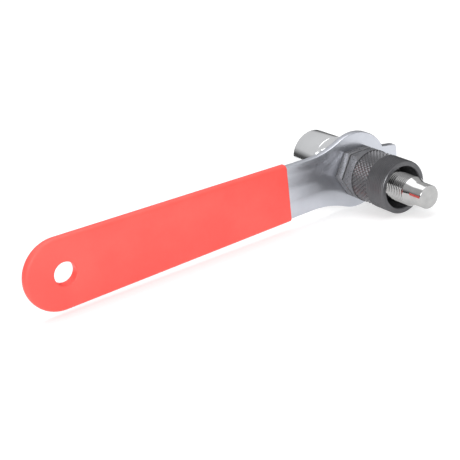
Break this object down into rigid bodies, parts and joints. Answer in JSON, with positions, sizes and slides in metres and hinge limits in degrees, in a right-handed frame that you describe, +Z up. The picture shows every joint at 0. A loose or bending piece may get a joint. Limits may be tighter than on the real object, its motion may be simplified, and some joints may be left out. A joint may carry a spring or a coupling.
{
  "type": "crank puller",
  "caption": "Crank puller with a knurled screw sleeve on a spindle, a hexagon socket behind, and a dipped flat handle with a cap blade.",
  "frame": {"origin": "on the drive axis, halfway along the puller thread", "axes": "-X towards the handle's hang hole, +X towards the cap blade; the puller end points to -Y and, by the lean of the lying tool, a little down; +Z up from the bench"},
  "size_m": [0.1756, 0.0774, 0.0324],
  "materials": {
    "zinc_plate": "satin zinc plating",
    "red_vinyl": "semi-matte dipped vinyl",
    "socket_chrome": "polished chrome plating",
    "bright_spindle": "bright turned steel",
    "black_nut": "satin black oxide",
    "black_sleeve": "satin black oxide"
  },
  "bodies": {
    "handle": {"handle_plate": "zinc_plate", "grip": "red_vinyl", "socket": "socket_chrome", "spindle": "bright_spindle", "clamp_nut": "black_nut"},
    "sleeve": {"puller_sleeve": "black_sleeve"}
  },
  "joints": [
    {"name": "sleeve_travel", "type": "slide", "parent": "handle", "child": "sleeve", "axis": [0, -0.985, -0.1725], "range_m": [-0.0006, 0.018]}
  ]
}
